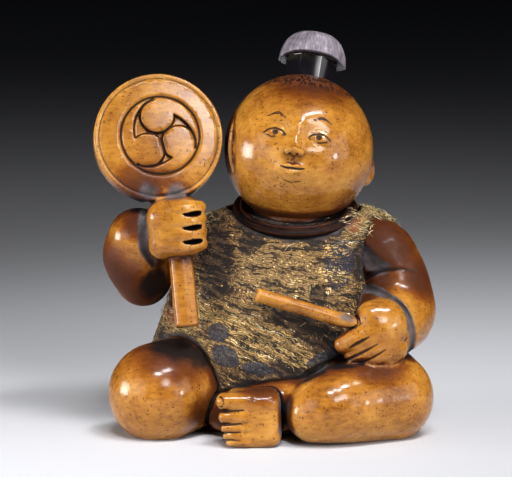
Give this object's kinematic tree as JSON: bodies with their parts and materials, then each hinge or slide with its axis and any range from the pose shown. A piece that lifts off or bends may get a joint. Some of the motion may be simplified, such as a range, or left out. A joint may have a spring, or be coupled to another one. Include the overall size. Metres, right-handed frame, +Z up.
{
  "type": "netsuke",
  "caption": "Netsuke of a seated boy dressed in brocade cloth, holding up a round fan-drum and a drumstick, carved from one piece of polished wood with a dark topknot",
  "frame": {"origin": "middle of the box's width and depth, on the flat underside", "axes": "+Z up through the crown, the longest extent; -Y is the way the boy faces; +X is the boy's left"},
  "size_m": [0.0343, 0.0251, 0.0398],
  "materials": {
    "wood": "polished amber boxwood, dark in the grooves",
    "brocade": "worn woven brocade with gold threads",
    "horn": "polished dark horn, the cap grey and matte"
  },
  "bodies": {
    "root": {"boy": "wood", "garment": "brocade", "topknot": "horn"}
  },
  "joints": []
}
